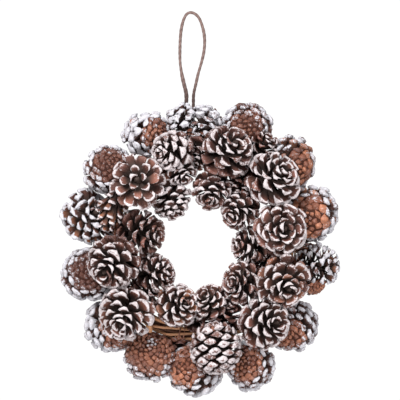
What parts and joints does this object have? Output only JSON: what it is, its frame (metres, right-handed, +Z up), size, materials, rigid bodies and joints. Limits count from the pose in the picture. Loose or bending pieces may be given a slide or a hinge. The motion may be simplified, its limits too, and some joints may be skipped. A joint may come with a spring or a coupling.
{
  "type": "pinecone wreath",
  "caption": "Hanging wreath of open pine cones with frosted scale ends, packed round a ring of twisted vine, with a thin twine loop at the top.",
  "frame": {"origin": "crown of the twine loop, where it lies over a hook; the wreath hangs below it", "axes": "+Z up, -Y the front that the picture shows, +X to the viewer's right"},
  "size_m": [0.3201, 0.1002, 0.4449],
  "materials": {
    "outer_cone": "dry cone scales, brown closed stem end, white frosted scale ends",
    "front_cone": "dry cone scales, dark inside, white frosted scale ends",
    "inner_cone": "dry cone scales, dark inside, thin white frost",
    "vine": "matte bark, orange-brown",
    "twine": "matte twisted fibre"
  },
  "bodies": {
    "root": {"outer_cone_01": "outer_cone", "outer_cone_02": "outer_cone", "outer_cone_03": "outer_cone", "outer_cone_04": "outer_cone", "outer_cone_05": "outer_cone", "outer_cone_06": "outer_cone", "outer_cone_07": "outer_cone", "outer_cone_08": "outer_cone", "outer_cone_09": "outer_cone", "outer_cone_10": "outer_cone", "outer_cone_11": "outer_cone", "outer_cone_12": "outer_cone", "outer_cone_13": "outer_cone", "outer_cone_14": "outer_cone", "outer_cone_15": "outer_cone", "outer_cone_16": "outer_cone", "front_cone_01": "front_cone", "front_cone_02": "front_cone", "front_cone_03": "front_cone", "front_cone_04": "front_cone", "front_cone_05": "front_cone", "front_cone_06": "front_cone", "front_cone_07": "front_cone", "front_cone_08": "front_cone", "front_cone_09": "front_cone", "front_cone_10": "front_cone", "front_cone_11": "front_cone", "inner_cone_01": "inner_cone", "inner_cone_02": "inner_cone", "inner_cone_03": "inner_cone", "inner_cone_04": "inner_cone", "inner_cone_05": "inner_cone", "inner_cone_06": "inner_cone", "inner_cone_07": "inner_cone", "inner_cone_08": "inner_cone", "inner_cone_09": "inner_cone", "inner_cone_10": "inner_cone", "inner_cone_11": "inner_cone", "inner_cone_12": "inner_cone", "inner_cone_13": "inner_cone", "inner_cone_14": "inner_cone", "inner_cone_15": "inner_cone", "inner_cone_16": "inner_cone", "inner_cone_17": "inner_cone", "inner_cone_18": "inner_cone", "inner_cone_19": "inner_cone", "vine_ring": "vine", "hanging_loop": "twine"}
  },
  "joints": []
}
